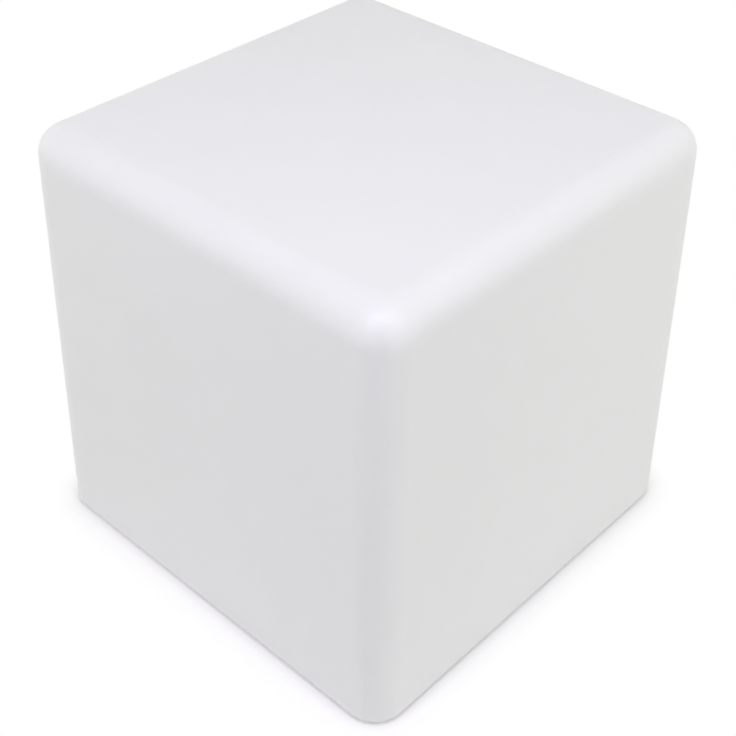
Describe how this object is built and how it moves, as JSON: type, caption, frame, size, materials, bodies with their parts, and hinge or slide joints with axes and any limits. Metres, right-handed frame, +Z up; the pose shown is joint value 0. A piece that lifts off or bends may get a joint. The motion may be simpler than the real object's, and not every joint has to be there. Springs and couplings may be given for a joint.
{
  "type": "battery cube light",
  "caption": "Battery cube light and seat: a hollow translucent moulded cube with rounded edges, lit from a sealed lamp unit screwed into a round recess in its underside.",
  "frame": {"origin": "on the floor, under the middle of the cube", "axes": "+Z up out of the seat; +X right, from the charging socket to the power button; -Y front. The cube is square, so the front is a choice."},
  "size_m": [0.3998, 0.3998, 0.394],
  "materials": {
    "shell_plastic": "satin, waxy, very fine orange peel",
    "plate_plastic": "fine spark-eroded grain",
    "housing_plastic": "fine grain",
    "foot_rubber": "matt",
    "cover_rubber": "matt, soft",
    "seal_rubber": "matt",
    "screw_steel": "stainless, bright",
    "brass": "turned",
    "spreader_aluminium": "brushed",
    "led_board_white": "white solder mask",
    "led_resin": "white case with a clear lens",
    "dome_plastic": "milky, smooth",
    "circuit_board": "green solder mask",
    "chip_plastic": "moulded epoxy",
    "ferrite": "sintered",
    "capacitor_can": "sleeved",
    "connector_plastic": "natural nylon",
    "jack_plastic": "moulded",
    "pin_nickel": "nickel plated",
    "window_clear": "clear acrylic",
    "cell_steel": "nickel-plated can",
    "sleeve_film": "shrink film",
    "strap_fabric": "woven tape",
    "lead_red": "insulated wire",
    "lead_white": "insulated wire",
    "button_plastic": "satin",
    "plunger_plastic": "moulded"
  },
  "bodies": {
    "lamp": {"cube_shell": "shell_plastic", "threaded_inserts": "brass", "foot_front_right": "foot_rubber", "foot_rear_right": "foot_rubber", "foot_rear_left": "foot_rubber", "foot_front_left": "foot_rubber", "foot_screws": "screw_steel", "base_plate": "plate_plastic", "port_gasket": "seal_rubber", "base_screws": "screw_steel", "screw_seals": "seal_rubber", "electronics_housing": "housing_plastic", "housing_seal": "seal_rubber", "housing_screws": "screw_steel", "wire_grommet": "seal_rubber", "heat_spreader": "spreader_aluminium", "led_board": "led_board_white", "led_emitters": "led_resin", "led_board_screws": "screw_steel", "diffuser_dome": "dome_plastic", "dome_seal": "seal_rubber", "dome_screws": "screw_steel", "control_board": "circuit_board", "board_screws": "screw_steel", "controller_chip": "chip_plastic", "power_transistors": "chip_plastic", "charge_inductor": "ferrite", "filter_capacitor": "capacitor_can", "battery_connector": "connector_plastic", "led_connector": "connector_plastic", "switch_body": "chip_plastic", "charge_jack": "jack_plastic", "charge_pin": "pin_nickel", "status_window": "window_clear", "status_led": "led_resin", "battery_cradle": "housing_plastic", "cradle_screws": "screw_steel", "battery_cell_1": "cell_steel", "battery_cell_2": "cell_steel", "battery_sleeve": "sleeve_film", "protection_board": "circuit_board", "battery_strap": "strap_fabric", "battery_leads": "lead_red", "led_leads": "lead_white"},
    "power_button": {"power_button": "button_plastic", "button_seal": "seal_rubber", "switch_plunger": "plunger_plastic"},
    "charge_cover": {"charge_cover": "cover_rubber"}
  },
  "joints": [
    {"name": "button_press", "type": "slide", "parent": "lamp", "child": "power_button", "axis": [0, 0, 1], "range_m": [0, 0.0015], "stiffness_N_per_m": 1000, "springref_m": -0.001},
    {"name": "cover_hinge", "type": "hinge", "parent": "lamp", "child": "charge_cover", "pos_m": [-0.03, 0, 0.0116], "axis": [0, 1, 0], "range_deg": [0, 110]}
  ]
}
